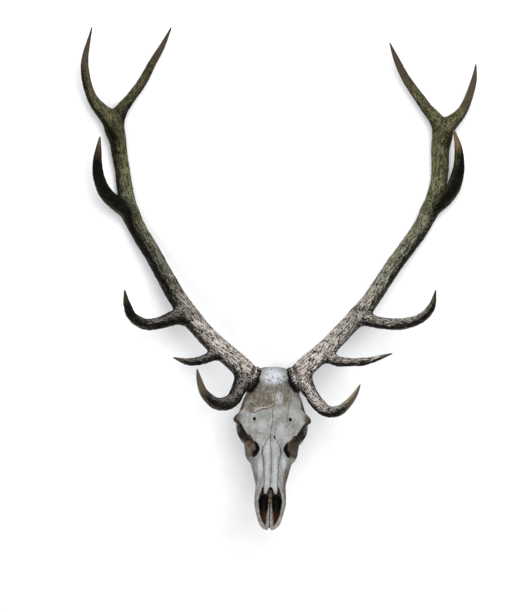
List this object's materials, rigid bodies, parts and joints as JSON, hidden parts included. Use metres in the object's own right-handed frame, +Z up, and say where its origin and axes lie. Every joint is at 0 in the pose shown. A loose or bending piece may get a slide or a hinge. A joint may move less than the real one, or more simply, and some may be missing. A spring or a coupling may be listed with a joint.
{
  "type": "red deer stag skull with antlers",
  "caption": "Life-size skull of a red deer stag, without the lower jaw, with a full branched antler on each side, lying face up.",
  "frame": {"origin": "on the floor under the centre of the bounding box", "axes": "+X to the animal's left, +Y from the nose to the antler tips, +Z up"},
  "size_m": [0.904, 1.1226, 0.3227],
  "materials": {
    "bone": "matt bleached bone with stains in the hollows and sutures",
    "stained_bone": "matt bone stained grey-brown",
    "tooth": "satin enamel with dark infolds",
    "antler": "rough pearled and furrowed antler, dark in the furrows and pale on the ridges",
    "antler_tip": "antler rubbed smooth and pale towards the points"
  },
  "bodies": {
    "root": {"braincase": "stained_bone", "forehead": "bone", "left_beam_lower": "antler", "left_beam_middle": "antler", "left_beam_upper": "antler", "left_bez_tine": "antler_tip", "left_brow_tine": "antler_tip", "left_burr": "antler", "left_cheekbone": "bone", "left_crown_tine": "antler_tip", "left_fork_inner": "antler_tip", "left_fork_outer": "antler_tip", "left_maxilla": "bone", "left_nasal": "bone", "left_pedicle": "stained_bone", "left_premaxilla": "bone", "left_trez_tine": "antler_tip", "occiput": "bone", "right_beam_lower": "antler", "right_beam_middle": "antler", "right_beam_upper": "antler", "right_bez_tine": "antler_tip", "right_brow_tine": "antler_tip", "right_burr": "antler", "right_cheekbone": "bone", "right_crown_tine": "antler_tip", "right_fork_inner": "antler_tip", "right_fork_outer": "antler_tip", "right_maxilla": "bone", "right_nasal": "bone", "right_pedicle": "stained_bone", "right_premaxilla": "bone", "right_trez_tine": "antler_tip"}
  },
  "joints": []
}
